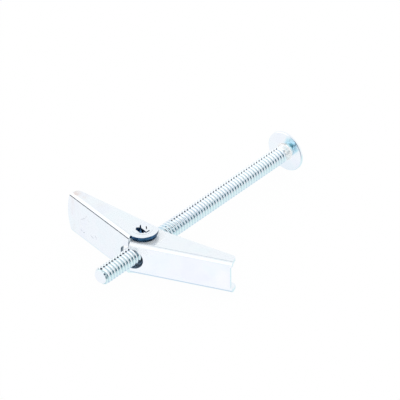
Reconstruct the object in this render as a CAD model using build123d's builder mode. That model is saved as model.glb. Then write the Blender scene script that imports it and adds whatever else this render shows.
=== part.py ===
from build123d import *
import os
from math import asin, atan2, cos, degrees, hypot, radians, sin, sqrt, tan

# Spring-wing toggle bolt, 3/16 inch with 24 threads to the inch, for hollow walls.
# Millimetres. X runs along the screw, from the head's seat towards the tip. Z is the
# wings' pivot axis, and points up as the bolt lies on its head and its outer wing.
# The origin is on the screw's axis, in the plane of the head's seat.

# Screw
screw_length = 74.6
thread_radius = 2.415
neck_radius = 2.1
neck_length = 1.5
tip_radius = 1.95
tip_chamfer = 0.7

# Truss head with a combined cross and slot recess
head_radius = 5.8
head_height = 2.7
head_rim = 0.7
head_edge_round = 0.15
seat_fillet = 0.35
slot_width = 1.15
slot_depth = 1.3
cross_width = 1.05
cross_reach = 2.6
cross_floor_width = 0.6
cross_floor_reach = 1.0
cross_depth = 2.5

# Wings: two folded channels, the inner one nested between the outer one's flanges
tip_beyond_pivot = 16.55
sheet = 0.9
bend_radius = 0.25
web_offset = 5.1
outer_width = 12.6
nest_gap_above = 0.8
nest_gap_below = 0.25
wing_length = 26.2
outer_sweep = 11.0
inner_sweep = 21.3
stop_gap = 0.05
outer_ear_radius = 4.2
inner_ear_radius = 3.9
outer_flange_reach = 2.8
inner_flange_reach = 3.8
flange_taper = 12.2
outer_end_bow = 1.4
outer_tip_round = 1.7
inner_end_hollow = 0.5
inner_tip_round = 1.0
tab_width = 1.5
tab_round = 0.25
hollow_round = 0.2
ear_corner_round = 0.8
ear_relief_round = 0.4
outer_notch_radius = 4.1
inner_notch_radius = 3.0

# Trunnion nut: a barrel with a stub at each end, staked over the outer wing's ears
barrel_radius = 3.65
barrel_flat = 3.2
barrel_clearance = 0.4
bore_clearance = 0.05
bore_chamfer = 0.4
stub_radius = 2.0
stub_clearance = 0.06
stake_radius = 2.8
stake_height = 0.3
stake_gap = 0.05
stake_groove_width = 0.7
stake_groove_length = 1.9
stake_groove_depth = 0.75
stake_dimple_radius = 1.25

# Torsion spring, coiled round the lower stub, one leg against each web
wire_radius = 0.2
coil_clearance = 0.25
coil_turns = 2
coil_arcs = 6
coil_pitch = 0.43
spring_leg = 11.0
spring_gap = 0.05

# Places worked out from the sizes above
bore_radius = thread_radius + bore_clearance
pivot_hole_radius = stub_radius + stub_clearance
pivot_x = screw_length - tip_beyond_pivot
pivot = Vector(pivot_x, 0, 0)
web_inside = web_offset - sheet
seam = web_inside * tan(radians((outer_sweep + inner_sweep) / 2)) - stop_gap
inner_width = outer_width - 2 * sheet - nest_gap_above - nest_gap_below
inner_drop = (nest_gap_above - nest_gap_below) / 2
inner_floor = -inner_width / 2 + sheet - inner_drop
inner_ceiling = inner_width / 2 - sheet - inner_drop


def wing_directions(side, sweep):
    """Directions along a wing and out of its web, for a wing on the given side of the screw."""
    along = Vector(-sin(radians(sweep)), side * cos(radians(sweep)), 0)
    out = Vector(cos(radians(sweep)), side * sin(radians(sweep)), 0)
    return along, out


def channel_section(plane, width, depth):
    """U section of the folded sheet, its web at local X = web_offset and its open side at -X."""
    with BuildSketch(plane) as section:
        with Locations((web_offset - depth / 2, 0)):
            Rectangle(depth, width)
        fillet(section.vertices().sort_by(Axis.X)[-2:], bend_radius + sheet)
        with Locations((web_inside - depth / 2, 0)):
            RectangleRounded(depth, width - 2 * sheet, bend_radius, mode=Mode.SUBTRACT)
    return section.sketch


def flange_outline(plane, side, ear_radius, flange_reach, flange_end, tip_round):
    """Plan of a wing: a round ear about the pivot and a flange that tapers to the wing's end."""
    lean = radians(flange_taper)
    slope = tan(lean)
    edge_start = -flange_reach / cos(lean)
    beyond = wing_length + 1
    web_side = web_offset + 1
    bend_line = web_inside - bend_radius
    tip_x = edge_start + slope * flange_end
    ear_chord = sqrt(ear_radius**2 - flange_reach**2)
    ear_corner_x = -flange_reach * cos(lean) - ear_chord * sin(lean)
    ear_corner_y = flange_reach * sin(lean) - ear_chord * cos(lean)
    ear_back = -2 * ear_radius
    with BuildSketch(plane) as outline:
        Polygon(
            (web_side, -side * seam),
            (web_side, side * beyond),
            (bend_line, side * beyond),
            (bend_line, side * flange_end),
            (tip_x, side * flange_end),
            (-flange_reach * cos(lean), side * flange_reach * sin(lean)),
            (0, -side * seam),
            align=None,
        )
        Circle(ear_radius)
        Polygon(
            (edge_start + slope * beyond, side * beyond),
            (edge_start + slope * ear_back, side * ear_back),
            (edge_start - wing_length, side * ear_back),
            (edge_start - wing_length, side * beyond),
            align=None,
            mode=Mode.SUBTRACT,
        )
        flange_tip = outline.vertices().sort_by_distance((tip_x, side * flange_end))[0]
        fillet(flange_tip, tip_round)
        ear_corner = (ear_corner_x, side * ear_corner_y)
        fillet(outline.vertices().sort_by_distance(ear_corner)[0], ear_corner_round)
        relief = (sqrt(ear_radius**2 - seam**2), -side * seam)
        fillet(outline.vertices().sort_by_distance(relief)[0], ear_relief_round)
        Circle(pivot_hole_radius, mode=Mode.SUBTRACT)
    return outline.sketch


def web_outline(plane, width, notch_radius, end_bow, end_hollow):
    """Elevation of a wing: its end bowed out or hollowed, and a notch at the seam."""
    half = width / 2 + sheet
    back = -2 * outer_ear_radius
    beyond = wing_length + 1
    with BuildSketch(plane) as outline:
        with Locations(((wing_length + back) / 2, 0)):
            Rectangle(wing_length - back, 2 * half)
        if end_bow > 0:
            bow_radius = ((width / 2) ** 2 + end_bow**2) / (2 * end_bow)
            side_x = wing_length - bow_radius + sqrt(bow_radius**2 - half**2)
            with BuildLine():
                ThreePointArc((side_x, half), (wing_length, 0), (side_x, -half))
                Polyline((side_x, -half), (beyond, -half), (beyond, half), (side_x, half))
            make_face(mode=Mode.SUBTRACT)
        if end_hollow > 0:
            hollow_half = width / 2 - tab_width
            with Locations((wing_length, 0)):
                RectangleRounded(
                    2 * end_hollow, 2 * hollow_half, hollow_round, mode=Mode.SUBTRACT
                )
            for tab_corner in ((wing_length, hollow_half), (wing_length, -hollow_half)):
                fillet(outline.vertices().sort_by_distance(tab_corner)[0], tab_round)
        with Locations((-seam, 0)):
            Circle(notch_radius, mode=Mode.SUBTRACT)
    return outline.sketch


# Screw: one turned profile, then the recess in its head
dome_rise = head_height - head_rim
dome_radius = (head_radius**2 + dome_rise**2) / (2 * dome_rise)
dome_half_angle = asin(head_radius / dome_radius) / 2
dome_centre_x = dome_radius - head_height

with BuildPart() as screw:
    with BuildSketch(Plane.XY):
        with BuildLine():
            ThreePointArc(
                (-head_height, 0),
                (
                    dome_centre_x - dome_radius * cos(dome_half_angle),
                    dome_radius * sin(dome_half_angle),
                ),
                (-head_rim, head_radius),
            )
            Polyline(
                (-head_rim, head_radius),
                (-head_edge_round, head_radius),
                (0, head_radius - head_edge_round),
                (0, neck_radius + seat_fillet),
            )
            RadiusArc((0, neck_radius + seat_fillet), (seat_fillet, neck_radius), -seat_fillet)
            Polyline(
                (seat_fillet, neck_radius),
                (neck_length, neck_radius),
                (neck_length + thread_radius - neck_radius, thread_radius),
                (screw_length - tip_chamfer, thread_radius),
                (screw_length, tip_radius),
                (screw_length, 0),
                (-head_height, 0),
            )
        make_face()
    revolve(axis=Axis.X)
    # Cross recess: four tapered wings that narrow towards its floor
    with BuildSketch(Plane.YZ.offset(-head_height)) as cross_mouth:
        Rectangle(2 * cross_reach, cross_width)
        Rectangle(cross_width, 2 * cross_reach)
    with BuildSketch(Plane.YZ.offset(cross_depth - head_height)) as cross_floor:
        Rectangle(2 * cross_floor_reach, cross_floor_width)
        Rectangle(cross_floor_width, 2 * cross_floor_reach)
    loft(mode=Mode.SUBTRACT)
    # Slot across the whole dome
    with BuildSketch(Plane.YZ.offset(-head_height)):
        Rectangle(2 * head_radius + 1, slot_width)
    extrude(amount=slot_depth, mode=Mode.SUBTRACT)
screw.part.label = "screw"

# Spring's coil: each leg leaves it at a tangent and ends against its wing's web
coil_radius = stub_radius + coil_clearance + wire_radius
leg_offset = web_inside - wire_radius - spring_gap
leg_lean = degrees(
    asin(leg_offset / hypot(coil_radius, spring_leg)) - atan2(coil_radius, spring_leg)
)
coil_start_angle = leg_lean - outer_sweep
coil_angle = 360 * coil_turns + inner_sweep + outer_sweep - 2 * leg_lean
coil_rise = coil_pitch * coil_angle / 360
coil_bottom = inner_floor + spring_gap + wire_radius
coil_top = coil_bottom + coil_rise

# Trunnion nut: barrel about the pivot axis with the tapped bore across it
stub_end = outer_width / 2 + stake_gap
barrel_top = inner_ceiling - barrel_clearance
barrel_bottom = coil_top + wire_radius + spring_gap
barrel_plane = Plane(origin=pivot)

with BuildPart() as trunnion_nut:
    with BuildSketch(barrel_plane.offset(barrel_bottom)):
        Circle(barrel_radius)
        Rectangle(2 * barrel_flat, 2 * barrel_radius, mode=Mode.INTERSECT)
    extrude(amount=barrel_top - barrel_bottom)
    with BuildSketch(barrel_plane.offset(-stub_end)):
        Circle(stub_radius)
    extrude(amount=2 * stub_end)
    # Tapped bore, plain here at the screw's crests, with chamfered mouths
    with BuildSketch(Plane.YZ.offset(pivot_x - barrel_radius)):
        Circle(bore_radius)
    extrude(amount=2 * barrel_radius, mode=Mode.SUBTRACT)
    bore_mouths = trunnion_nut.edges().filter_by(GeomType.CIRCLE)
    bore_mouths = bore_mouths.filter_by(lambda e: abs(e.radius - bore_radius) < 0.01)
    chamfer(bore_mouths, bore_chamfer)
    # Staked ends: a low flared head, split into four petals by a cross punch
    for end in (1, -1):
        stake_plane = Plane(
            origin=pivot + Vector(0, 0, end * stub_end), z_dir=(0, 0, end)
        )
        with BuildSketch(stake_plane):
            Circle(stake_radius)
        extrude(amount=stake_height, taper=30)
        with BuildSketch(stake_plane.offset(stake_height)):
            Circle(stake_dimple_radius)
            with PolarLocations(stake_groove_length / 2, 4, start_angle=45):
                Rectangle(stake_groove_length, stake_groove_width)
        extrude(amount=-stake_groove_depth, taper=20, mode=Mode.SUBTRACT)
trunnion_nut.part.label = "trunnion_nut"

# Outer wing, on the -Y side
outer_along, outer_out = wing_directions(-1, outer_sweep)
outer_depth = web_offset + 2 * outer_ear_radius

with BuildPart() as outer_wing:
    start = pivot - outer_along * 2 * outer_ear_radius
    section_plane = Plane(origin=start, x_dir=outer_out, z_dir=outer_along)
    plan = Plane(origin=pivot, x_dir=outer_out, z_dir=(0, 0, 1))
    elevation = Plane(origin=pivot, x_dir=outer_along, z_dir=outer_out)
    extrude(
        channel_section(section_plane, outer_width, outer_depth),
        amount=2 * outer_ear_radius + wing_length + 1,
    )
    extrude(
        flange_outline(
            plan,
            -1,
            outer_ear_radius,
            outer_flange_reach,
            wing_length - outer_end_bow,
            outer_tip_round,
        ),
        amount=outer_width,
        both=True,
        mode=Mode.INTERSECT,
    )
    extrude(
        web_outline(elevation, outer_width, outer_notch_radius, outer_end_bow, 0),
        amount=outer_depth,
        both=True,
        mode=Mode.INTERSECT,
    )
outer_wing.part.label = "outer_wing"

# Inner wing, on the +Y side, resting low on the stubs
inner_along, inner_out = wing_directions(1, inner_sweep)
inner_depth = web_offset + 2 * inner_ear_radius
inner_pivot = pivot - Vector(0, 0, inner_drop)

with BuildPart() as inner_wing:
    start = inner_pivot - inner_along * 2 * inner_ear_radius
    section_plane = Plane(origin=start, x_dir=inner_out, z_dir=inner_along)
    plan = Plane(origin=inner_pivot, x_dir=inner_out, z_dir=(0, 0, 1))
    elevation = Plane(origin=inner_pivot, x_dir=inner_along, z_dir=inner_out)
    extrude(
        channel_section(section_plane, inner_width, inner_depth),
        amount=2 * inner_ear_radius + wing_length + 1,
    )
    extrude(
        flange_outline(
            plan, 1, inner_ear_radius, inner_flange_reach, wing_length, inner_tip_round
        ),
        amount=inner_width,
        both=True,
        mode=Mode.INTERSECT,
    )
    extrude(
        web_outline(elevation, inner_width, inner_notch_radius, 0, inner_end_hollow),
        amount=inner_depth,
        both=True,
        mode=Mode.INTERSECT,
    )
inner_wing.part.label = "inner_wing"

# Torsion spring: a coil of closely pitched arcs with a level leg at each end
coil_plane = Plane(
    origin=pivot + Vector(0, 0, coil_bottom),
    x_dir=(cos(radians(coil_start_angle)), sin(radians(coil_start_angle)), 0),
    z_dir=(0, 0, 1),
)


def coil_point(share):
    """Point on the wire's centre line, a share of the way up the coil."""
    turned = radians(coil_angle * share)
    return Vector(coil_radius * cos(turned), coil_radius * sin(turned), coil_rise * share)


with BuildLine() as spring_wire:
    Line(coil_point(0) - Vector(0, spring_leg, 0), coil_point(0))
    for arc in range(coil_arcs):
        ThreePointArc(*[coil_point((arc + share) / coil_arcs) for share in (0, 0.5, 1)])
    Line(coil_point(1), coil_point(1) + Vector(0, spring_leg, 0).rotate(Axis.Z, coil_angle))
spring_path = coil_plane * spring_wire.wire()

with BuildPart() as torsion_spring:
    with BuildSketch(Plane(origin=spring_path @ 0, z_dir=spring_path % 0)):
        Circle(wire_radius)
    sweep(path=spring_path, is_frenet=True)
torsion_spring.part.label = "torsion_spring"

os.makedirs("parts", exist_ok=True)
for piece in (screw, trunnion_nut, outer_wing, inner_wing, torsion_spring):
    export_step(piece.part, f"parts/{piece.part.label}.step")
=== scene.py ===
import math

import bpy
from mathutils import Matrix, Vector


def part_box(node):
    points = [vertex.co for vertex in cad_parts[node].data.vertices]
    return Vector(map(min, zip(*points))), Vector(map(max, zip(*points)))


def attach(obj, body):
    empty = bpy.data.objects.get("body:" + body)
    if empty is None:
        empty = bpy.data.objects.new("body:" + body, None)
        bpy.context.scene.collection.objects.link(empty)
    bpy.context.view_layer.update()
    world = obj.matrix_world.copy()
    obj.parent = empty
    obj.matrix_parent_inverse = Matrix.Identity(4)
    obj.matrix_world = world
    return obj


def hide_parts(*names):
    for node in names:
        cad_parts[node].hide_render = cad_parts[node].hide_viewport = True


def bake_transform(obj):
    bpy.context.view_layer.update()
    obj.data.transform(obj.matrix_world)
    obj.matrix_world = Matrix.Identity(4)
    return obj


# Spring-wing toggle bolt in bright zinc plate. Metres; X runs along the screw from the
# head's seat to the tip, Z is the wings' pivot axis, and +Y is the inner wing's side.
MM = 0.001

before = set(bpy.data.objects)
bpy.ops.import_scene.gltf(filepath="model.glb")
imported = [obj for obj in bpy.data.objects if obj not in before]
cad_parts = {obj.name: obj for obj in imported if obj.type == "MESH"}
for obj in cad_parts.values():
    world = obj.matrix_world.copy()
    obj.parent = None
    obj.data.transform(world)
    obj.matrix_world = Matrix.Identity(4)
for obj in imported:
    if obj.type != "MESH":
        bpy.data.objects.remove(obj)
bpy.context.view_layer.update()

# Places read from the frame
SCREW_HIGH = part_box("screw")[1]
NUT_LOW, NUT_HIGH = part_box("trunnion_nut")
COIL_LOW, COIL_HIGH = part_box("torsion_spring")
PIVOT_X = (NUT_LOW.x + NUT_HIGH.x) / 2
STAKE_TOP = NUT_HIGH.z
FLOOR_Z = NUT_LOW.z
HEAD_RADIUS = SCREW_HIGH.z
TIP_X = SCREW_HIGH.x

# Screw head, neck and thread
HEAD_HEIGHT = 2.7 * MM
HEAD_RIM = 0.7 * MM
HEAD_EDGE = 0.15 * MM
NECK_RADIUS = 2.1 * MM
NECK_LENGTH = 1.5 * MM
SEAT_FILLET = 0.35 * MM
HEAD_ROUND = 0.06 * MM
SLOT_WIDTH = 1.15 * MM
SLOT_DEPTH = 1.3 * MM
CROSS_WIDTH = 1.05 * MM
CROSS_REACH = 2.6 * MM
CROSS_FLOOR_WIDTH = 0.6 * MM
CROSS_FLOOR_REACH = 1.0 * MM
CROSS_DEPTH = 2.5 * MM
THREAD_PITCH = 25.4 / 24 * MM
THREAD_RADIUS = 2.415 * MM
THREAD_DEPTH = 0.58 * MM
CREST_FLAT = 0.05 * MM
CREST_ROUND = 0.14 * MM
ROOT_ROUND = 0.14 * MM
FLANK_LEAN = math.radians(60)
RUNOUT = 0.5 * MM
TIP_RADIUS = 1.95 * MM
TIP_CHAMFER = 0.7 * MM

# How finely round shapes are drawn, what is welded, and which edges are rounded or stay sharp
THREAD_STEPS = 40
THREAD_ROUND_STEPS = 3
HEAD_STEPS = 96
DOME_STEPS = 16
FILLET_STEPS = 5
STAKE_STEPS = 64
WIRE_SIDES = 12
COIL_STEPS = 72
FLOOR_SIDES = 96
WELD = 0.0005 * MM
SHARP_ANGLE = math.radians(35)
SMOOTH_ANGLE = math.radians(40)

# Wings
SHEET = 0.9 * MM
WEB_OFFSET = 5.1 * MM
OUTER_SWEEP = math.radians(11.0)
INNER_SWEEP = math.radians(21.3)
OUTER_EAR_RADIUS = 4.2 * MM
LOWER_EAR_RADIUS = 2.95 * MM
STOP_GAP = 0.05 * MM
SEAM = (WEB_OFFSET - SHEET) * math.tan((OUTER_SWEEP + INNER_SWEEP) / 2) - STOP_GAP
OUTER_CUT_BACK = 0.6 * MM
OUTER_LOW_CUT_BACK = 1.7 * MM
INNER_REACH_ON = 0.75 * MM
OUTER_NOTCH = 4.1 * MM
NOTCH_SQUEEZE = 0.74
EDGE_ROUND = 0.08 * MM

# Lower flange of the outer wing: its height, the ear's zone, and the angles from the web
# between which the ear shrinks
LOWER_FLANGE = -5 * MM
EAR_ZONE = 5 * MM
EAR_START = 0.12
EAR_START_EASE = 0.1
EAR_END = 2.6
EAR_END_EASE = 0.4

# How closely a vertex lies on the web's inside, on the notch's wall, or at the web's end
WEB_SLACK = 0.05 * MM
NOTCH_SLACK = 0.03 * MM
END_SLACK = 0.01 * MM

# Nut: domed stakes, and the punch's star as points (x, y) from the pivot in millimetres
STAKE_RADIUS = 2.75 * MM
STAKE_HEIGHT = 0.33 * MM
STAKE_SKIRT = 0.01 * MM
PUNCH_START = 0.2 * MM
PUNCH_DEPTH = 0.75 * MM
PUNCH_TAPER = 0.8
PUNCH_STAR = [
    (1.82, -0.96),
    (0.93, -1.48),
    (0.63, -1.12),
    (0.58, -0.58),
    (-0.58, -1.41),
    (-0.74, -1.21),
    (0.39, -0.06),
    (0.54, 1.01),
    (0.74, 2.02),
    (-0.48, 2.11),
    (-0.25, 2.52),
    (1.14, 2.51),
    (1.27, 1.8),
    (1.79, 1.99),
    (2.26, 1.16),
    (2.04, 0.03),
]
PUNCH_CRACK = [
    (-0.94, 0.29),
    (-1.14, 0.53),
    (-0.16, 1.43),
    (0.08, 1.29),
]

# Torsion spring
WIRE_RADIUS = 0.2 * MM
COIL_RADIUS = 2.45 * MM
COIL_TURNS = 2
SPRING_LEG = 11.0 * MM
LEG_BEND = 3.0 * MM
LEG_RINGS = [0.0, 0.5, 1.0, 1.5, 2.0, 2.5, 3.0, 5.5, 8.0, 11.0]
SPRING_GAP = 0.05 * MM

# Camera, solved from the thread's crests, the screw's edges and the wings' bend lines
CAMERA_PLACE = Vector((503.01, 411.19, 440.34)) * MM
CAMERA_RIGHT = Vector((-0.65248, 0.75766, -0.01457))
CAMERA_UP = Vector((-0.44334, -0.36606, 0.8182))
CAMERA_FOCAL_PIXELS = 2877.5
PHOTO_PIXELS = 400
SENSOR_MM = 36
CAMERA_CLIP = (0.01, 10)

# Table top: its radius, and how much of what the camera sees of it is plain white
FLOOR_RADIUS = 0.6
FLOOR_WHITENESS = 0.97


class Signal:
    """A value in a node tree. Sums and products of signals add their Math nodes."""

    def __init__(self, shader, socket):
        self.shader = shader
        self.socket = socket

    def maths(self, operation, first, second):
        return self.shader.add("ShaderNodeMath", {"operation": operation}, {0: first, 1: second})

    def __add__(self, other):
        return self.maths("ADD", self, other)

    def __radd__(self, other):
        return self.maths("ADD", other, self)

    def __sub__(self, other):
        return self.maths("SUBTRACT", self, other)

    def __rsub__(self, other):
        return self.maths("SUBTRACT", other, self)

    def __mul__(self, other):
        return self.maths("MULTIPLY", self, other)

    def __rmul__(self, other):
        return self.maths("MULTIPLY", other, self)

    def at_least(self, other):
        return self.maths("MAXIMUM", self, other)


class Shader:
    """The node tree of a material or of the world, started empty."""

    def __init__(self, owner):
        owner.use_nodes = True
        self.tree = owner.node_tree
        self.tree.nodes.clear()

    def add(self, kind, settings=None, inputs=None, output=0):
        """Adds a node, sets it, fills its sockets with values or signals, and returns an output."""
        node = self.tree.nodes.new(kind)
        for name, value in (settings or {}).items():
            if name == "stops":
                self.set_stops(node.color_ramp, value)
            else:
                setattr(node, name, value)
        for name, value in (inputs or {}).items():
            socket = node.inputs[name]
            if isinstance(value, Signal):
                self.tree.links.new(value.socket, socket)
            else:
                socket.default_value = value
        if isinstance(output, tuple):
            return [Signal(self, node.outputs[place]) for place in output]
        return Signal(self, node.outputs[output]) if len(node.outputs) else None

    def set_stops(self, ramp, stops):
        """Stops are pairs of a place and a colour or a grey."""
        while len(ramp.elements) < len(stops):
            ramp.elements.new(1)
        for element, (place, colour) in zip(ramp.elements, stops):
            element.position = place
            element.color = colour if isinstance(colour, tuple) else (colour,) * 3 + (1,)

    def ramp(self, factor, stops):
        return self.add("ShaderNodeValToRGB", {"stops": stops}, {"Fac": factor})

    def rise(self, value, start, end):
        """0 at start, 1 at end and beyond, smooth between."""
        return self.add(
            "ShaderNodeMapRange",
            {"interpolation_type": "SMOOTHSTEP"},
            {"Value": value, "From Min": start, "From Max": end},
        )

    def band(self, value, low, high, soft):
        """1 between low and high, 0 outside, with soft edges."""
        return self.rise(value, low - soft, low + soft) * self.rise(value, high + soft, high - soft)

    def blend(self, factor, first, second, how="MIX"):
        """Mixes two colours."""
        return self.add(
            "ShaderNodeMix",
            {"data_type": "RGBA", "blend_type": how},
            {0: factor, 6: first, 7: second},
            output=2,
        )

    def noise(self, place, scale, detail=2, roughness=0.5, distortion=0):
        return self.add(
            "ShaderNodeTexNoise",
            {},
            {
                "Vector": place,
                "Scale": scale,
                "Detail": detail,
                "Roughness": roughness,
                "Distortion": distortion,
            },
        )

    def place(self, turn=(0, 0, 0), scale=(1, 1, 1), centre=(0, 0, 0)):
        """Object coordinates, moved to a centre, turned and stretched."""
        coordinates = self.add("ShaderNodeTexCoord", output=3)
        return self.add(
            "ShaderNodeMapping",
            {"vector_type": "TEXTURE"},
            {
                "Vector": coordinates,
                "Location": centre,
                "Rotation": turn,
                "Scale": tuple(1 / s for s in scale),
            },
        )

    def parts(self, vector):
        return self.add("ShaderNodeSeparateXYZ", {}, {0: vector}, output=(0, 1, 2))

    def length(self, vector):
        return self.add("ShaderNodeVectorMath", {"operation": "LENGTH"}, {0: vector}, output=1)

    def reach(self, first, second):
        """How far a place is from an axis, from its two coordinates across that axis."""
        return self.length(self.add("ShaderNodeCombineXYZ", {}, {0: first, 1: second}))

    def magnitude(self, value):
        return self.add("ShaderNodeMath", {"operation": "ABSOLUTE"}, {0: value})

    def dot(self, vector, direction):
        return self.add(
            "ShaderNodeVectorMath",
            {"operation": "DOT_PRODUCT"},
            {0: vector, 1: direction},
            output=1,
        )


# Colours, as linear red, green, blue and cover
WHITE = (1, 1, 1, 1)
ZINC = (0.89, 0.935, 0.975, 1)
ZINC_LILAC = (0.975, 0.975, 1.0, 1)
ZINC_AQUA = (0.975, 1.0, 1.0, 1)
ZINC_HAZE = (0.93, 0.97, 1.0, 1)
BLOTCH_BLUE = (0.55, 0.66, 0.78, 1)
FLUSH_TAN = (0.78, 0.63, 0.58, 1)
SCRATCH_GREY = (0.06, 0.10, 0.16, 1)
# Painted teal shade for the thread's grooves, then the painted reflection of the shank on the head's
# seat
GROOVE_SHADE_TEAL = (0.36, 0.55, 0.60, 1)
SEAT_REFLECTION_PALE = (0.60, 0.84, 0.93, 1)
SEAT_REFLECTION_DARK = (0.14, 0.32, 0.38, 1)
# The next four colours are painted shade and painted reflection: deep recesses, the nut's barrel and
# the inner notch, the flange under the ear, and steel blue for dark marks of both
DEEP_SHADE = (0.012, 0.035, 0.08, 1)
INNER_SHADE = (0.045, 0.12, 0.22, 1)
EAR_SHADE = (0.05, 0.14, 0.24, 1)
STEEL_BLUE = (0.055, 0.15, 0.29, 1)
WIRE_PALE = (0.34, 0.42, 0.50, 1)
WIRE_DARK = (0.20, 0.27, 0.36, 1)

# Where a finish, a painted shade or a painted reflection starts and where it is full. On the screw:
# along it, or out from its axis
ON_THREAD = (NECK_LENGTH, NECK_LENGTH + RUNOUT)
IN_GROOVE = (THREAD_RADIUS - 0.16 * MM, THREAD_RADIUS - 0.5 * MM)
BEFORE_TIP = (TIP_X - 0.01 * MM, TIP_X - 0.05 * MM)
ON_SEAT = (-0.1 * MM, -0.04 * MM)
ON_NECK = (2.7 * MM, 2.5 * MM)
BESIDE_NECK = (2.5 * MM, 2.7 * MM)
ON_RIM = (HEAD_RADIUS - 0.24 * MM, HEAD_RADIUS - 0.16 * MM)
ON_RIM_BEVEL = (-HEAD_EDGE - 0.06 * MM, -HEAD_EDGE)
RIM_SIDE = (0, 3 * MM)
RIM_UPPER = (-1.5 * MM, 2 * MM)

# Painted reflection of the shank on the head's seat, beside the neck: y, z and half sizes
SEAT_REFLECTION_PLACE = (2.4 * MM, 3.0 * MM)
SEAT_REFLECTION_SIZE = (2.8 * MM, 2.9 * MM)

# On the nut: out from the pivot, below the stake's top, or up from the middle
IN_STAKE = (2.6 * MM, 2.5 * MM)
ON_STAKE_RIM = (2.3 * MM, 2.6 * MM)
UNDER_DOME = (0.06 * MM, 0.14 * MM)
IN_PUNCH = (1.2 * MM, 0.9 * MM)
ABOVE_EAR = (0.5 * MM, 0.4 * MM)
ON_BARREL = (4.6 * MM, 4.2 * MM)
DOME_FALL = STAKE_HEIGHT * 0.6 / STAKE_RADIUS**2

# On the wings: out from the screw's axis, out from the pivot, up, or along and across a wing
BEHIND_WEB_FACE = (WEB_OFFSET - 0.03 * MM, WEB_OFFSET - 0.08 * MM)
DEEP_IN_NOTCH = (WEB_OFFSET - 0.3 * MM, WEB_OFFSET - 0.4 * MM)
OUTER_NOTCH_WALL = (4.6 * MM, 4.5 * MM)
INNER_NOTCH_WALL = (3.75 * MM, 3.65 * MM)
ON_EAR_EDGE = (OUTER_EAR_RADIUS - 0.2 * MM, OUTER_EAR_RADIUS - 0.1 * MM)
EAR_NEAR_WEB = (4.6 * MM, 4.5 * MM)
EAR_FAR_SIDE = (-3.4 * MM, -2.6 * MM)
EAR_PAST_PIVOT = (-0.42 * MM, -0.5 * MM)
EAR_EDGE_LOW = STAKE_TOP - 1.3 * MM
EAR_EDGE_HIGH = STAKE_TOP - 0.42 * MM
EAR_EDGE_SOFT = 0.03 * MM
ON_INNER_FLANGE = (4.2 * MM, 4.5 * MM)
UNDER_EAR = (3.85 * MM, 3.7 * MM)
HAZE_RING = (3.95 * MM, 5.9 * MM, 0.12 * MM)
HAZE_ROUND_SCREW = (6.2 * MM, 5.0 * MM)
HAZE_ABOVE_SCREW = (1.4 * MM, 2.4 * MM)

# Marks on the wings' webs: along the wing, height, half length, half width, lean and
# strength; a strength above zero darkens the plate, and one below zero brightens it
OUTER_MARKS = [
    (19.2, -3.35, 0.22, 0.20, 0.0, 0.9),
    (20.3, -3.2, 0.6, 0.13, 0.35, 0.45),
    (15.6, -2.8, 1.0, 0.13, 0.25, 0.5),
    (13.9, -2.0, 0.8, 0.13, 0.9, 0.5),
    (19.4, 0.9, 1.9, 0.14, -0.62, 0.3),
    (20.0, -1.8, 1.6, 0.10, 0.1, -0.7),
    (19.3, -2.2, 1.3, 0.10, 0.1, -0.7),
    (17.9, 2.4, 0.9, 0.16, -1.0, 0.22),
    (17.0, 1.5, 0.5, 0.14, 0.6, 0.22),
]
INNER_MARKS = [
    (8.6, 3.3, 0.12, 0.12, 0.0, 0.4),
    (23.6, -1.0, 2.6, 4.0, 0.0, -0.3),
]

# Tan flushes on the wings' flanges: along the wing, out towards the web, radius, strength
OUTER_FLUSHES = [
    (23.8, 3.9, 1.9, 0.75),
    (21.4, 3.4, 2.2, 0.28),
    (15.4, 2.2, 2.6, 0.08),
]
INNER_FLUSHES = [
    (20.5, 2.6, 2.8, 0.07),
    (4.9, -2.9, 1.6, 0.08),
]


def plate_tint(shader, place):
    """Zinc's own colour, drifting a little between lilac and aqua."""
    cloud = shader.noise(place, 170, detail=3, distortion=0.4)
    tint = shader.ramp(cloud, [(0.36, ZINC_LILAC), (0.5, WHITE), (0.62, ZINC_AQUA)])
    return shader.blend(1.0, ZINC, tint, "MULTIPLY")


def shade_recesses(shader, colour, reach, depth):
    """Paints shade into the colour of what lies deep between surfaces, where the plate mirrors itself
    over and over.
    """
    openness = shader.add(
        "ShaderNodeAmbientOcclusion", {"samples": 8}, {"Distance": reach}, output=1
    )
    return shader.blend(shader.rise(openness, depth, 0), colour, DEEP_SHADE)


def finish_metal(shader, colour, roughness, height, strength, metallic):
    """Closes a metal material over its colour, roughness and relief."""
    bump = shader.add(
        "ShaderNodeBump", {}, {"Strength": strength, "Distance": 0.02 * MM, "Height": height}
    )
    surface = shader.add(
        "ShaderNodeBsdfPrincipled",
        {},
        {
            "Base Color": colour,
            "Metallic": metallic,
            "Roughness": roughness,
            "Normal": bump,
        },
    )
    shader.add("ShaderNodeOutputMaterial", {}, {"Surface": surface})


def paint_seat_reflection(shader, colour, y, z, on_seat, from_axis, cloud):
    """A painted reflection of the shank on the head's seat: pale blue with a dark middle."""
    across = (y - SEAT_REFLECTION_PLACE[0]) * (1 / SEAT_REFLECTION_SIZE[0])
    upwards = (z - SEAT_REFLECTION_PLACE[1]) * (1 / SEAT_REFLECTION_SIZE[1])
    wavy = shader.reach(across, upwards) + (cloud - 0.5) * 0.9
    reflected_on_seat = on_seat * shader.rise(from_axis, *BESIDE_NECK)
    colour = shader.blend(reflected_on_seat * shader.rise(wavy, 1.0, 0.5), colour, SEAT_REFLECTION_PALE)
    return shader.blend(reflected_on_seat * shader.rise(wavy, 0.35, 0.1) * 0.8, colour, SEAT_REFLECTION_DARK)


def paint_rim_reflection(shader, colour, x, y, z, from_axis):
    """A painted dark reflection: a thin line on the edge of the head's seat, on one side of its upper
    half.
    """
    line = shader.rise(from_axis, *ON_RIM) * shader.rise(x, *ON_RIM_BEVEL)
    line = line * shader.rise(y, *RIM_SIDE) * shader.rise(z, *RIM_UPPER)
    return shader.blend(line * 0.55, colour, STEEL_BLUE)


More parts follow.
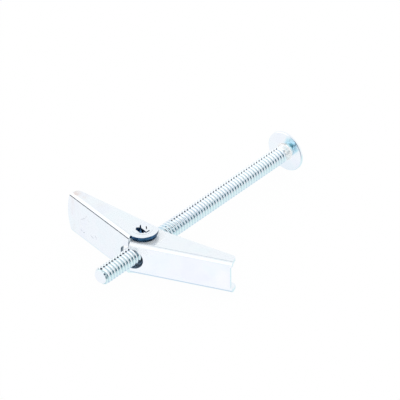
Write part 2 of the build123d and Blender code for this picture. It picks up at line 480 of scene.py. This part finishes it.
def make_screw_zinc():
    """Zinc on the rolled screw: glossy, with fine marks drawn along it, painted shade in its grooves
    and recesses, and painted reflections on the head's seat.
    """
    material = bpy.data.materials.new("screw zinc")
    shader = Shader(material)
    place = shader.place()
    x, y, z = shader.parts(place)
    from_axis = shader.reach(y, z)
    cloud = shader.noise(place, 500)
    on_thread = shader.rise(x, *ON_THREAD)
    on_seat = shader.rise(x, *ON_SEAT)
    on_neck = on_seat * (1 - on_thread) * shader.rise(from_axis, *ON_NECK)
    groove_shade = shader.rise(from_axis, *IN_GROOVE) * on_thread * shader.rise(x, *BEFORE_TIP)
    colour = plate_tint(shader, place)
    # Painted teal shade in the thread's grooves
    colour = shader.blend(groove_shade * 0.5, colour, GROOVE_SHADE_TEAL)
    colour = shade_recesses(shader, colour, 0.5 * MM, 0.5)
    colour = paint_seat_reflection(shader, colour, y, z, on_seat, from_axis, cloud)
    colour = paint_rim_reflection(shader, colour, x, y, z, from_axis)
    colour = shader.blend(on_neck, colour, WHITE)
    drawn = shader.noise(shader.place(scale=(0.3, 1, 1)), 2600, detail=3)
    finish_metal(shader, colour, 0.06 + 0.08 * cloud, drawn, 0.03, 1 - 0.7 * on_neck)
    return material


def make_nut_zinc():
    """Zinc on the turned nut, with painted shade in the star that the staking punch left and on the
    barrel.
    """
    material = bpy.data.materials.new("nut zinc")
    shader = Shader(material)
    place = shader.place()
    x, y, z = shader.parts(place)
    from_pivot = shader.reach(x - PIVOT_X, y)
    from_middle = shader.magnitude(z)
    depth = STAKE_TOP - from_middle
    patches = shader.noise(place, 900, detail=1)
    # Painted shade in the punched star, dark navy to steel blue
    dark = shader.ramp(patches, [(0.4, DEEP_SHADE), (0.58, STEEL_BLUE)])
    dome_depth = from_pivot * from_pivot * DOME_FALL
    punched = shader.rise(depth - dome_depth, *UNDER_DOME) * shader.rise(from_pivot, *IN_STAKE)
    punched = punched * shader.rise(depth, *IN_PUNCH)
    barrel = shader.rise(from_middle, *ON_BARREL)
    rim = shader.rise(from_pivot, *ON_STAKE_RIM) * shader.rise(depth, *ABOVE_EAR)
    colour = plate_tint(shader, place)
    colour = shader.blend(punched, colour, dark)
    # Painted shade on the barrel, which lies behind the wings' notches
    colour = shader.blend(barrel * 0.9, colour, INNER_SHADE)
    colour = shade_recesses(shader, colour, 1.2 * MM, 0.5)
    grain = shader.noise(place, 2400, detail=3)
    metallic = 1 - 0.8 * rim.at_least(barrel)
    finish_metal(shader, colour, 0.12 + 0.06 * patches, grain, 0.04, metallic)
    return material


def make_spring_finish():
    """Drawn wire, darker and duller than the plate, its darkness partly painted shade to match the
    shaded notch.
    """
    material = bpy.data.materials.new("spring steel")
    shader = Shader(material)
    cloud = shader.noise(shader.place(), 900, detail=3)
    # The wire's dark colour is partly painted shade
    colour = shader.blend(cloud, WIRE_PALE, WIRE_DARK)
    colour = shade_recesses(shader, colour, 1.5 * MM, 0.5)
    finish_metal(shader, colour, 0.22 + 0.1 * cloud, cloud, 0.05, 0.6)
    return material


def wing_frame(shader, side, sweep):
    """Places seen from the pivot, X along a wing, Y across its channel and Z up."""
    turn = (0, 0, side * (math.pi / 2 + sweep))
    return shader.place(turn=turn, centre=(PIVOT_X, 0, 0))


def stroke(shader, wing, along, height, length, width, lean):
    """A soft-edged mark on a wing's web: 1 on the mark, 0 off it. Lengths in millimetres."""
    mark = shader.add(
        "ShaderNodeMapping",
        {"vector_type": "TEXTURE"},
        {
            "Vector": wing,
            "Location": (along * MM, 0, height * MM),
            "Rotation": (0, -lean, 0),
            "Scale": (length * MM, 1, width * MM),
        },
    )
    x, y, z = shader.parts(mark)
    on_web = shader.rise(y * y, (WEB_OFFSET - 1.5 * SHEET) ** 2, (WEB_OFFSET - 0.5 * SHEET) ** 2)
    return shader.rise(shader.reach(x, z), 1.0, 0.4) * on_web


def mark_plate(shader, colour, wing, marks):
    """Scratches and dents on a wing's web, and patches where it is brighter."""
    for along, height, length, width, lean, strength in marks:
        mark = stroke(shader, wing, along, height, length, width, lean)
        shade = SCRATCH_GREY if strength > 0 else WHITE
        colour = shader.blend(mark * abs(strength), colour, shade)
    return colour


def flush_plate(shader, colour, along, out, blotch, flushes):
    """Tan patches on a wing's flange."""
    patchy = shader.rise(blotch, 0.38, 0.6)
    for middle, offset, size, strength in flushes:
        distance = shader.reach(along - middle * MM, out - offset * MM)
        flush = shader.rise(distance, size * MM, 0) * patchy
        colour = shader.blend(flush * strength, colour, FLUSH_TAN)
    return colour


def finish_outer_wing(shader, colour, places):
    """Painted shade on the outer wing's notch wall by the web's face, hazy pale plate deeper in the
    notch, and a painted dark reflection on the shear-cut edge of its upper ear.
    """
    along, out, up, from_pivot, from_screw, blotch = places
    notch = shader.rise(from_screw, *OUTER_NOTCH_WALL) * shader.rise(out, *BEHIND_WEB_FACE)
    deep = shader.rise(out, *DEEP_IN_NOTCH)
    # Painted shade on the notch wall by the web's face; deeper in the notch the wall is hazy pale
    # plate
    colour = shader.blend(notch * (1 - deep) * 0.85, colour, STEEL_BLUE)
    colour = shader.blend(notch * deep, colour, ZINC_HAZE)
    ear = shader.rise(from_pivot, *ON_EAR_EDGE) * shader.rise(out, *EAR_NEAR_WEB)
    ear = ear * shader.rise(out, *EAR_FAR_SIDE) * shader.rise(along, *EAR_PAST_PIVOT)
    ear = ear * shader.band(up, EAR_EDGE_LOW, EAR_EDGE_HIGH, EAR_EDGE_SOFT)
    # Painted dark reflection on the ear's edge
    ear_edge_shade = shader.ramp(blotch, [(0.42, DEEP_SHADE), (0.66, STEEL_BLUE)])
    return shader.blend(ear, colour, ear_edge_shade), 1 - 0.8 * notch


def finish_inner_wing(shader, colour, places):
    """The inner wing's notch wall in painted shade, its hazy plate by nut and screw, and painted shade
    on the flange under the ear.
    """
    out, up, from_pivot, from_screw = places[1:5]
    notch = shader.rise(from_screw, *INNER_NOTCH_WALL) * shader.rise(out, *BEHIND_WEB_FACE)
    # Painted shade on the notch wall
    colour = shader.blend(notch * 0.85, colour, INNER_SHADE)
    on_flange = shader.rise(up, *ON_INNER_FLANGE)
    above_screw = shader.rise(from_screw, *HAZE_ROUND_SCREW) * shader.rise(up, *HAZE_ABOVE_SCREW)
    haze = (shader.band(from_pivot, *HAZE_RING) * on_flange).at_least(above_screw)
    colour = shader.blend(haze * 0.9, colour, ZINC_HAZE)
    # Painted shade on the flange under the outer wing's ear
    under_ear = shader.rise(from_pivot, *UNDER_EAR) * on_flange
    return shader.blend(under_ear, colour, EAR_SHADE), 1 - 0.7 * haze.at_least(notch)


def make_wing_zinc(name, side, sweep, marks, flushes, finish_wing):
    """Zinc on pressed sheet, with handling marks, brighter patches, faint blotches, painted shade in
    its recesses and a wing's own painted shade.
    """
    material = bpy.data.materials.new(name)
    shader = Shader(material)
    place = shader.place()
    wing = wing_frame(shader, side, sweep)
    x, y, z = shader.parts(place)
    along, across, up = shader.parts(wing)
    out = across * -side
    blotch = shader.noise(place, 420, detail=4, roughness=0.65)
    colour = plate_tint(shader, place)
    colour = shader.blend(shader.rise(blotch, 0.5, 0.72) * 0.06, colour, BLOTCH_BLUE)
    colour = mark_plate(shader, colour, wing, marks)
    colour = flush_plate(shader, colour, along, out, blotch, flushes)
    colour = shade_recesses(shader, colour, 0.7 * MM, 0.25)
    from_pivot = shader.reach(x - PIVOT_X, y)
    from_screw = shader.reach(y, z)
    places = (along, out, up, from_pivot, from_screw, blotch)
    colour, metallic = finish_wing(shader, colour, places)
    drawn = shader.place(turn=(0.3, 0.2, sweep), scale=(0.25, 1, 1))
    scratches = shader.noise(drawn, 1500, detail=4)
    finish_metal(shader, colour, 0.10 + 0.10 * blotch, scratches, 0.02, metallic)
    return material


screw_zinc = make_screw_zinc()
nut_zinc = make_nut_zinc()
spring_finish = make_spring_finish()
outer_zinc = make_wing_zinc(
    "outer wing zinc", -1, OUTER_SWEEP, OUTER_MARKS, OUTER_FLUSHES, finish_outer_wing
)
inner_zinc = make_wing_zinc(
    "inner wing zinc", 1, INNER_SWEEP, INNER_MARKS, INNER_FLUSHES, finish_inner_wing
)

for node, material in {
    "screw": screw_zinc,
    "trunnion_nut": nut_zinc,
    "outer_wing": outer_zinc,
    "inner_wing": inner_zinc,
    "torsion_spring": spring_finish,
}.items():
    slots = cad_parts[node].data.materials
    slots.clear()
    slots.append(material)


def arc(centre, radius, first_angle, last_angle, steps):
    """Points (x, r) along an arc, its first point left out."""
    points = []
    for step in range(1, steps + 1):
        angle = first_angle + (last_angle - first_angle) * step / steps
        across = radius * math.cos(angle)
        upwards = radius * math.sin(angle)
        points.append((centre[0] + across, centre[1] + upwards))
    return points


def draw_line(name, points):
    """A chain of edges, drawn by extruding one vertex from point to point."""
    bpy.ops.object.select_all(action="DESELECT")
    bpy.ops.mesh.primitive_plane_add(size=MM, location=(0, 0, 0))
    line = bpy.context.object
    line.name = name
    bpy.ops.object.mode_set(mode="EDIT")
    bpy.ops.mesh.select_all(action="SELECT")
    bpy.ops.mesh.merge(type="CENTER")
    bpy.ops.transform.translate(value=points[0])
    for here, there in zip(points, points[1:]):
        step = Vector(there) - Vector(here)
        bpy.ops.mesh.extrude_region_move(TRANSFORM_OT_translate={"value": tuple(step)})
    bpy.ops.object.mode_set(mode="OBJECT")
    return line


def draw_profile(name, points):
    """A chain of edges through points (x, r) above the screw's axis."""
    return draw_line(name, [(x, 0, r) for x, r in points])


def make_prism(name, outline, low, high, shrink):
    """An outline at one height closed into a face and raised, or sunk, into a tapered prism."""
    prism = draw_line(name, [(x, y, low) for x, y in outline])
    edit(prism)
    bpy.ops.mesh.edge_face_add()
    bpy.ops.mesh.extrude_region_move(TRANSFORM_OT_translate={"value": (0, 0, high - low)})
    bpy.ops.transform.resize(value=(shrink, shrink, 1))
    bpy.ops.object.mode_set(mode="OBJECT")
    point_outwards(prism)
    return prism


def pick(piece):
    """Makes one piece the only selected and active one."""
    bpy.ops.object.select_all(action="DESELECT")
    piece.select_set(True)
    bpy.context.view_layer.objects.active = piece


def apply(piece, kind, **settings):
    """Adds a modifier, sets it and applies it."""
    pick(piece)
    modifier = piece.modifiers.new(kind.lower(), kind)
    for name, value in settings.items():
        setattr(modifier, name, value)
    bpy.ops.object.modifier_apply(modifier=modifier.name)
    return piece


def spin_round(line, steps, pitch=0, turns=1):
    """Turns a line about the screw's axis, straight round or along a right-hand helix."""
    return apply(
        line,
        "SCREW",
        axis="X",
        angle=2 * math.pi,
        steps=steps,
        render_steps=steps,
        screw_offset=pitch,
        iterations=turns,
        use_merge_vertices=True,
        merge_threshold=WELD,
        use_smooth_shade=True,
    )


def edit(piece):
    """Starts edit mode on one piece with all of it selected."""
    pick(piece)
    bpy.ops.object.mode_set(mode="EDIT")
    bpy.ops.mesh.select_all(action="SELECT")


def point_outwards(piece):
    edit(piece)
    bpy.ops.mesh.remove_doubles(threshold=WELD)
    bpy.ops.mesh.normals_make_consistent(inside=False)
    bpy.ops.object.mode_set(mode="OBJECT")


def cut_square(piece, x, keep_above):
    """Cuts a piece square to the screw's axis at x, drops one side and closes the cut."""
    edit(piece)
    bpy.ops.mesh.bisect(
        plane_co=(x, 0, 0),
        plane_no=(1, 0, 0),
        use_fill=True,
        threshold=WELD,
        clear_inner=keep_above,
        clear_outer=not keep_above,
    )
    bpy.ops.object.mode_set(mode="OBJECT")


def delete(piece):
    bpy.data.objects.remove(piece)


def carve(piece, cutter, operation="DIFFERENCE"):
    apply(piece, "BOOLEAN", operation=operation, solver="EXACT", object=cutter)
    delete(cutter)


def dress(piece, name, material):
    piece.name = name
    piece.data.materials.clear()
    piece.data.materials.append(material)


def make_thread():
    """Threaded length of the screw as a closed solid, trimmed at its runout and its tip."""
    root = THREAD_RADIUS - THREAD_DEPTH
    root_reach = ROOT_ROUND * math.sin(FLANK_LEAN)
    crest_reach = CREST_ROUND * math.sin(FLANK_LEAN)
    flank_rise = THREAD_DEPTH - (ROOT_ROUND + CREST_ROUND) * (1 - math.cos(FLANK_LEAN))
    flank_reach = flank_rise / math.tan(FLANK_LEAN)
    root_flat = THREAD_PITCH - CREST_FLAT - 2 * (root_reach + crest_reach + flank_reach)
    quarter = math.pi / 2
    start = NECK_LENGTH - 1.5 * THREAD_PITCH
    points = [(start, root), (start + root_flat / 2, root)]
    rise_centre = (points[-1][0], root + ROOT_ROUND)
    points += arc(rise_centre, ROOT_ROUND, -quarter, -quarter + FLANK_LEAN, THREAD_ROUND_STEPS)
    crest_x = points[-1][0] + flank_reach + crest_reach
    crest_centre = (crest_x, THREAD_RADIUS - CREST_ROUND)
    points.append(
        (crest_x - crest_reach, crest_centre[1] + CREST_ROUND * math.cos(FLANK_LEAN))
    )
    points += arc(crest_centre, CREST_ROUND, quarter + FLANK_LEAN, quarter, THREAD_ROUND_STEPS)
    middle = start + THREAD_PITCH / 2
    points += [(2 * middle - x, r) for x, r in reversed(points)]
    turns = math.ceil((TIP_X - start) / THREAD_PITCH) + 1
    profile = draw_profile("screw_thread", points)
    thread = spin_round(profile, THREAD_STEPS, THREAD_PITCH, turns)
    cut_square(thread, NECK_LENGTH - 0.3 * MM, keep_above=True)
    cut_square(thread, TIP_X, keep_above=False)
    chamfer_slope = (THREAD_RADIUS - TIP_RADIUS) / TIP_CHAMFER
    runout_slope = (THREAD_RADIUS - NECK_RADIUS) / RUNOUT
    for vertex in thread.data.vertices:
        radius = math.hypot(vertex.co.y, vertex.co.z)
        chamfered = TIP_RADIUS + (TIP_X - vertex.co.x) * chamfer_slope
        fading = NECK_RADIUS + (vertex.co.x - NECK_LENGTH) * runout_slope
        limit = min(chamfered, fading)
        if radius > limit:
            vertex.co.y *= limit / radius
            vertex.co.z *= limit / radius
    point_outwards(thread)
    return thread


def make_head():
    """Truss head with its neck: a turned profile with a cross recess and a slot cut in it."""
    dome_rise = HEAD_HEIGHT - HEAD_RIM
    dome_radius = (HEAD_RADIUS**2 + dome_rise**2) / (2 * dome_rise)
    dome_centre = (dome_radius - HEAD_HEIGHT, 0)
    dome_half = math.asin(HEAD_RADIUS / dome_radius)
    points = [(-HEAD_HEIGHT, 0)]
    points += arc(dome_centre, dome_radius, math.pi, math.pi - dome_half, DOME_STEPS)
    points += [(-HEAD_EDGE, HEAD_RADIUS), (0, HEAD_RADIUS - HEAD_EDGE)]
    points.append((0, NECK_RADIUS + SEAT_FILLET))
    fillet_centre = (SEAT_FILLET, NECK_RADIUS + SEAT_FILLET)
    points += arc(fillet_centre, SEAT_FILLET, math.pi, 1.5 * math.pi, FILLET_STEPS)
    points += [(NECK_LENGTH, NECK_RADIUS), (NECK_LENGTH, 0)]
    head = spin_round(draw_profile("screw", points), HEAD_STEPS)
    point_outwards(head)
    bpy.ops.object.select_all(action="DESELECT")
    bpy.ops.mesh.primitive_cube_add(size=1, location=(-HEAD_HEIGHT, 0, 0))
    slot = bpy.context.object
    slot.scale = (2 * SLOT_DEPTH, SLOT_WIDTH, 2 * HEAD_RADIUS + MM)
    slot.rotation_euler = (math.pi / 2, 0, 0)
    bpy.ops.object.transform_apply()
    carve(head, slot)
    for turn in (0, math.pi / 2):
        bpy.ops.object.select_all(action="DESELECT")
        bpy.ops.mesh.primitive_cube_add(size=1, location=(0, 0, 0))
        wing = bpy.context.object
        wing.scale = (CROSS_DEPTH, 2 * CROSS_REACH, CROSS_WIDTH)
        wing.location = (CROSS_DEPTH / 2 - HEAD_HEIGHT, 0, 0)
        bpy.ops.object.transform_apply()
        for vertex in wing.data.vertices:
            if vertex.co.x > CROSS_DEPTH / 2 - HEAD_HEIGHT:
                vertex.co.y *= CROSS_FLOOR_REACH / CROSS_REACH
                vertex.co.z *= CROSS_FLOOR_WIDTH / CROSS_WIDTH
        wing.rotation_euler = (turn, 0, 0)
        bpy.ops.object.transform_apply()
        carve(head, wing)
    point_outwards(head)
    apply(
        head,
        "BEVEL",
        width=HEAD_ROUND,
        segments=2,
        limit_method="ANGLE",
        angle_limit=SHARP_ANGLE,
    )
    return head


def make_screw():
    """The whole screw: head, neck and rolled thread, in one closed mesh."""
    screw = make_head()
    carve(screw, make_thread(), "UNION")
    point_outwards(screw)
    bpy.ops.object.shade_smooth_by_angle(angle=SHARP_ANGLE)
    dress(screw, "threaded_screw", screw_zinc)
    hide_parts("screw")
    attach(screw, "root")


def merged_copy(node, name):
    """A copy of a node's own shape, its loose triangles merged into whole faces."""
    piece = bpy.data.objects.new(name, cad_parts[node].data.copy())
    bpy.context.collection.objects.link(piece)
    edit(piece)
    bpy.ops.mesh.remove_doubles(threshold=WELD)
    bpy.ops.mesh.dissolve_limited(angle_limit=math.radians(1))
    bpy.ops.object.mode_set(mode="OBJECT")
    return piece


def finish_edges(piece, name, material):
    """Rounds a piece's sharp edges and gives it its finish."""
    apply(
        piece,
        "BEVEL",
        width=EDGE_ROUND,
        segments=2,
        limit_method="ANGLE",
        angle_limit=SHARP_ANGLE,
        miter_outer="MITER_ARC",
    )
    bpy.ops.object.shade_smooth_by_angle(angle=SMOOTH_ANGLE)
    apply(piece, "WEIGHTED_NORMAL", keep_sharp=True)
    dress(piece, name, material)


def make_nut():
    """The node's barrel and stubs, each stub's end a low dome split by the staking punch."""
    nut = merged_copy("trunnion_nut", "staked_nut")
    stake_base = STAKE_TOP - STAKE_HEIGHT
    for side in (1, -1):
        edit(nut)
        bpy.ops.mesh.bisect(
            plane_co=(0, 0, side * stake_base),
            plane_no=(0, 0, side),
            use_fill=True,
            threshold=WELD,
            clear_outer=True,
        )
        bpy.ops.object.mode_set(mode="OBJECT")
        bpy.ops.object.select_all(action="DESELECT")
        bpy.ops.mesh.primitive_uv_sphere_add(segments=STAKE_STEPS, ring_count=STAKE_STEPS // 2)
        dome = bpy.context.object
        dome.scale = (STAKE_RADIUS, STAKE_RADIUS, STAKE_HEIGHT)
        dome.location = (PIVOT_X, 0, side * stake_base)
        bpy.ops.object.transform_apply()
        edit(dome)
        bpy.ops.mesh.bisect(
            plane_co=(0, 0, side * (stake_base + STAKE_SKIRT)),
            plane_no=(0, 0, side),
            use_fill=True,
            threshold=WELD,
            clear_inner=True,
        )
        bpy.ops.mesh.select_all(action="SELECT")
        bpy.ops.transform.translate(value=(0, 0, -side * STAKE_SKIRT))
        bpy.ops.object.mode_set(mode="OBJECT")
        carve(nut, dome, "UNION")
        for outline in (PUNCH_STAR, PUNCH_CRACK):
            points = [(PIVOT_X + x * MM, y * MM) for x, y in outline]
            over = side * (STAKE_TOP + PUNCH_START)
            under = side * (STAKE_TOP - PUNCH_DEPTH)
            carve(nut, make_prism("punch", points, over, under, PUNCH_TAPER))
    point_outwards(nut)
    finish_edges(nut, "staked_nut", nut_zinc)
    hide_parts("trunnion_nut")
    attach(nut, "nut")


def wing_place(vertex, side, sweep):
    """A vertex seen from the pivot: along the wing, out towards the web, and up."""
    x = vertex.co.x - PIVOT_X
    y = side * vertex.co.y
    along = y * math.cos(sweep) - x * math.sin(sweep)
    out = x * math.cos(sweep) + y * math.sin(sweep)
    return along, out, vertex.co.z


def put_vertex(vertex, side, sweep, along, out, up):
    """Puts a vertex at a place given as wing_place gives it."""
    x = out * math.cos(sweep) - along * math.sin(sweep)
    y = along * math.cos(sweep) + out * math.sin(sweep)
    vertex.co = (PIVOT_X + x, side * y, up)


def shape_outer_wing(wing):
    """Lower notch, web cut back at the seam, and the smaller ear of the lower flange."""
    for vertex in wing.data.vertices:
        along, out, up = wing_place(vertex, -1, OUTER_SWEEP)
        on_web = out > WEB_OFFSET - SHEET - WEB_SLACK
        if on_web and abs(math.hypot(along + SEAM, up) - OUTER_NOTCH) < NOTCH_SLACK:
            up *= NOTCH_SQUEEZE
        if on_web and along < END_SLACK - SEAM:
            along += OUTER_CUT_BACK if up > 0 else OUTER_LOW_CUT_BACK
        reach = math.hypot(along, out)
        around = math.atan2(-along, out)
        if up < LOWER_FLANGE and LOWER_EAR_RADIUS < reach < EAR_ZONE and around > EAR_START:
            first_ease = min((around - EAR_START) / EAR_START_EASE, 1)
            last_ease = min(max(EAR_END - around, 0) / EAR_END_EASE, 1)
            shrink = 1 - first_ease * last_ease * (1 - LOWER_EAR_RADIUS / reach)
            along *= shrink
            out *= shrink
        put_vertex(vertex, -1, OUTER_SWEEP, along, out, up)


def shape_inner_wing(wing):
    """Web carried on past the seam until it covers the outer wing's end."""
    for vertex in wing.data.vertices:
        along, out, up = wing_place(vertex, 1, INNER_SWEEP)
        if along < END_SLACK - SEAM and out > WEB_OFFSET - SHEET - WEB_SLACK:
            put_vertex(vertex, 1, INNER_SWEEP, along - INNER_REACH_ON, out, up)


def make_wing(node, name, material, shape):
    wing = merged_copy(node, name)
    shape(wing)
    point_outwards(wing)
    finish_edges(wing, name, material)
    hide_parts(node)
    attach(wing, node)


def make_leg(name, start, direction):
    """A straight leg of the spring, from where it leaves the coil."""
    bpy.ops.object.select_all(action="DESELECT")
    bpy.ops.mesh.primitive_circle_add(
        vertices=WIRE_SIDES,
        radius=WIRE_RADIUS,
        fill_type="NGON",
        location=start,
        rotation=direction.to_track_quat("Z", "Y").to_euler(),
    )
    leg = bpy.context.object
    bpy.ops.object.transform_apply()
    bpy.ops.object.mode_set(mode="EDIT")
    bpy.ops.mesh.select_all(action="SELECT")
    for near, far in zip(LEG_RINGS, LEG_RINGS[1:]):
        step = direction * (far - near) * MM
        bpy.ops.mesh.extrude_region_move(TRANSFORM_OT_translate={"value": tuple(step)})
    bpy.ops.object.mode_set(mode="OBJECT")
    point_outwards(leg)
    bpy.ops.object.shade_smooth_by_angle(angle=SMOOTH_ANGLE)
    dress(leg, name, spring_finish)
    start + direction * LEG_BEND
    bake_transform(leg)


def make_spring():
    """Two close turns of wire round the lower stub, with a leg towards each web."""
    leg_offset = WEB_OFFSET - SHEET - WIRE_RADIUS - SPRING_GAP
    leg_lean = math.asin(leg_offset / math.hypot(COIL_RADIUS, SPRING_LEG)) - math.atan2(
        COIL_RADIUS, SPRING_LEG
    )
    first = leg_lean - OUTER_SWEEP
    turned = 2 * math.pi * COIL_TURNS + INNER_SWEEP + OUTER_SWEEP - 2 * leg_lean
    bottom = COIL_LOW.z + WIRE_RADIUS
    rise = COIL_HIGH.z - COIL_LOW.z - 2 * WIRE_RADIUS
    bpy.ops.object.select_all(action="DESELECT")
    bpy.ops.mesh.primitive_circle_add(
        vertices=WIRE_SIDES,
        radius=WIRE_RADIUS,
        fill_type="NOTHING",
        location=(COIL_RADIUS, 0, 0),
        rotation=(math.pi / 2, 0, 0),
    )
    coil = bpy.context.object
    bpy.ops.object.transform_apply()
    apply(
        coil,
        "SCREW",
        axis="Z",
        angle=turned,
        steps=COIL_STEPS,
        render_steps=COIL_STEPS,
        screw_offset=rise,
        use_smooth_shade=True,
    )
    edit(coil)
    bpy.ops.mesh.select_all(action="DESELECT")
    bpy.ops.mesh.select_mode(type="EDGE")
    bpy.ops.mesh.select_non_manifold()
    bpy.ops.mesh.edge_face_add()
    bpy.ops.object.mode_set(mode="OBJECT")
    coil.rotation_euler = (0, 0, first)
    coil.location = (PIVOT_X, 0, bottom)
    pick(coil)
    bpy.ops.object.transform_apply()
    point_outwards(coil)
    dress(coil, "spring_coil", spring_finish)
    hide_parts("torsion_spring")
    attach(coil, "nut")
    last = first + turned
    for name, angle, height, way, wing in (
        ("spring_leg_outer", first, bottom, -1, "outer_wing"),
        ("spring_leg_inner", last, bottom + rise, 1, "inner_wing"),
    ):
        radial = Vector((math.cos(angle), math.sin(angle), 0))
        tangent = Vector((-math.sin(angle), math.cos(angle), 0)) * way
        start = Vector((PIVOT_X, 0, height)) + radial * COIL_RADIUS
        make_leg(name, start, tangent)


def make_floor():
    """A round pale table top, white to the camera, with a faint shadow of the bolt."""
    bpy.ops.object.select_all(action="DESELECT")
    bpy.ops.mesh.primitive_circle_add(
        vertices=FLOOR_SIDES,
        radius=FLOOR_RADIUS,
        fill_type="NGON",
        location=(PIVOT_X / 2, 0, FLOOR_Z),
    )
    floor = bpy.context.object
    floor.name = "table"
    floor.visible_glossy = False
    material = bpy.data.materials.new("white table")
    shader = Shader(material)
    paper = shader.add("ShaderNodeBsdfDiffuse", {}, {"Color": WHITE})
    glow = shader.add("ShaderNodeEmission", {}, {"Color": WHITE, "Strength": 1.0})
    camera_ray = shader.add("ShaderNodeLightPath", output=0)
    mixed = shader.add("ShaderNodeMixShader", {}, {0: camera_ray * FLOOR_WHITENESS, 1: paper, 2: glow})
    shader.add("ShaderNodeOutputMaterial", {}, {"Surface": mixed})
    floor.data.materials.append(material)


def make_world():
    """A white studio. In reflections it has a soft box, dark cards and a shaded lower back."""
    world = bpy.data.worlds.new("studio")
    bpy.context.scene.world = world
    shader = Shader(world)
    direction = shader.add("ShaderNodeTexCoord", output=0)
    x, y, z = shader.parts(direction)
    level = shader.add(
        "ShaderNodeVectorMath",
        {"operation": "NORMALIZE"},
        {0: shader.add("ShaderNodeCombineXYZ", {}, {0: x, 1: y})},
    )

    def bearing(degrees, half_width, soft):
        """1 within half_width degrees of a bearing, measured from +X towards +Y."""
        middle = math.radians(degrees)
        facing = shader.dot(level, (math.cos(middle), math.sin(middle), 0))
        outside = math.cos(math.radians(half_width + soft))
        inside = math.cos(math.radians(half_width - soft))
        return shader.rise(facing, outside, inside)

    def spot(centre, half_width, soft):
        """1 within half_width degrees of a direction."""
        facing = shader.dot(direction, Vector(centre).normalized())
        outside = math.cos(math.radians(half_width + soft))
        inside = math.cos(math.radians(half_width - soft))
        return shader.rise(facing, outside, inside)

    dome = shader.ramp(
        z * 0.5 + 0.5,
        [
            (0.0, (0.55, 0.66, 0.80, 1)),
            (0.08, (0.80, 0.86, 0.94, 1)),
            (0.2, (1.0, 0.995, 1.01, 1)),
            (0.5, (1.0, 1.0, 1.0, 1)),
            (1.0, (1.0, 1.0, 1.0, 1)),
        ],
    )
    # Lifts what the inner wing's web mirrors
    near_sheet = bearing(1, 16, 12) * shader.band(z, -0.75, -0.3, 0.08)
    dome = shader.blend(near_sheet, dome, (1.05, 1.03, 1.06, 1))
    # Cool shade from below, on the thread's lower half and the bends' lower sides
    low_back = shader.rise(x, 0.1, -0.25) * shader.rise(z, -0.25, -0.5)
    dome = shader.blend(low_back, dome, (0.78, 0.93, 0.95, 1))
    low_front = shader.rise(y, 0.08, 0.35) * shader.rise(z, -0.3, -0.5)
    low_front = low_front.at_least(shader.rise(y, -0.12, 0.05) * shader.rise(z, -0.72, -0.85))
    dome = shader.blend(low_front, dome, (0.82, 0.95, 0.95, 1))
    # Soft box, with the grey gap above it that shows in the stake's dome
    softbox = bearing(-30, 60, 10) * shader.band(z, 0.16, 0.86, 0.05)
    dome = shader.blend(softbox, dome, (1.3, 1.3, 1.3, 1))
    gap = spot((-0.25, -0.40, 0.88), 6, 2)
    dome = shader.blend(gap, dome, (0.50, 0.56, 0.62, 1))
    # Dark strokes in the thread's flanks
    front_card = bearing(80, 17, 13) * shader.band(z, -0.34, 0.44, 0.14)
    dome = shader.blend(front_card, dome, (0.045, 0.16, 0.20, 1))
    # Dark line along the outer wing's bend, and dark dots on the thread's upper edge
    left_card = bearing(-58, 9, 2) * shader.band(z, -0.27, 0.02, 0.04)
    left_card = left_card.at_least(bearing(-37, 12, 2) * shader.band(z, -0.26, 0.39, 0.04))
    dome = shader.blend(left_card, dome, (0.03, 0.035, 0.05, 1))
    # The camera's own side of the room
    camera_card = spot((0.6146, 0.5403, 0.5747), 13, 3)
    dome = shader.blend(camera_card, dome, (0.03, 0.08, 0.14, 1))
    glossy_ray = shader.add("ShaderNodeLightPath", output=3)
    colour = shader.blend(glossy_ray, WHITE, dome)
    glow = shader.add("ShaderNodeBackground", {}, {"Color": colour, "Strength": 1.0})
    shader.add("ShaderNodeOutputWorld", {}, {"Surface": glow})


def make_camera():
    camera_data = bpy.data.cameras.new("camera")
    camera_data.sensor_width = SENSOR_MM
    camera_data.lens = CAMERA_FOCAL_PIXELS * SENSOR_MM / PHOTO_PIXELS
    camera_data.clip_start, camera_data.clip_end = CAMERA_CLIP
    camera = bpy.data.objects.new("camera", camera_data)
    bpy.context.scene.collection.objects.link(camera)
    back = CAMERA_RIGHT.cross(CAMERA_UP).normalized()
    right = CAMERA_UP.cross(back).normalized()
    up = back.cross(right)
    turned = Matrix((right, up, back)).transposed().to_4x4()
    camera.matrix_world = Matrix.Translation(CAMERA_PLACE) @ turned
    bpy.context.scene.camera = camera


make_screw()
make_nut()
make_wing("outer_wing", "outer_wing_sheet", outer_zinc, shape_outer_wing)
make_wing("inner_wing", "inner_wing_sheet", inner_zinc, shape_inner_wing)
make_spring()
make_floor()
make_world()
make_camera()

bpy.context.scene.view_settings.view_transform = "Standard"
